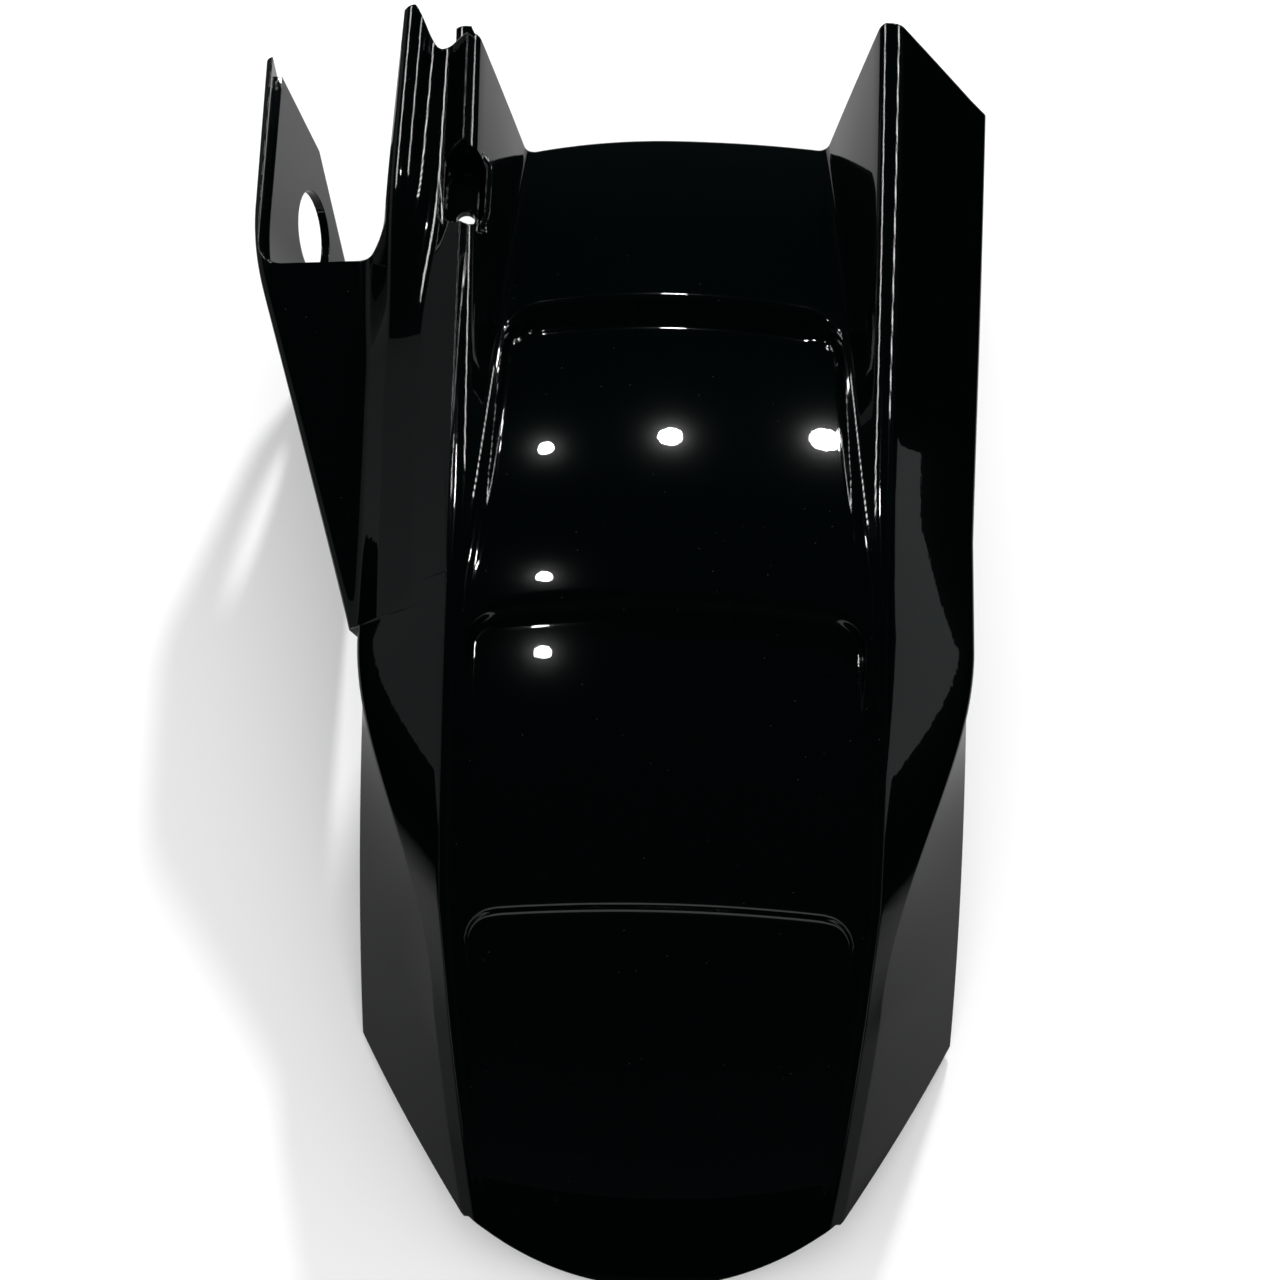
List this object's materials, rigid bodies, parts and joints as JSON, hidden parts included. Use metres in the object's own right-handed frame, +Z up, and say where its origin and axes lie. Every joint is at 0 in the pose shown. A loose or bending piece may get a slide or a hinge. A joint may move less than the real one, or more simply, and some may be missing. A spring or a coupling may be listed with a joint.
{
  "type": "motorcycle rear hugger",
  "caption": "Arched gloss black mudguard that hugs a rear wheel, with stepped sunk panels, raised shoulders, flared flanks and a chain guard flap on its left.",
  "frame": {"origin": "middle of the extents on the ground it lies on", "axes": "+X to the right-hand flank, +Y to the front of the motorcycle, +Z up from the ground to the crown"},
  "size_m": [0.275, 0.442, 0.1494],
  "materials": {
    "sheet": "gloss black moulded sheet, trimmed edges polished"
  },
  "bodies": {
    "root": {"rear_hugger": "sheet"}
  },
  "joints": []
}
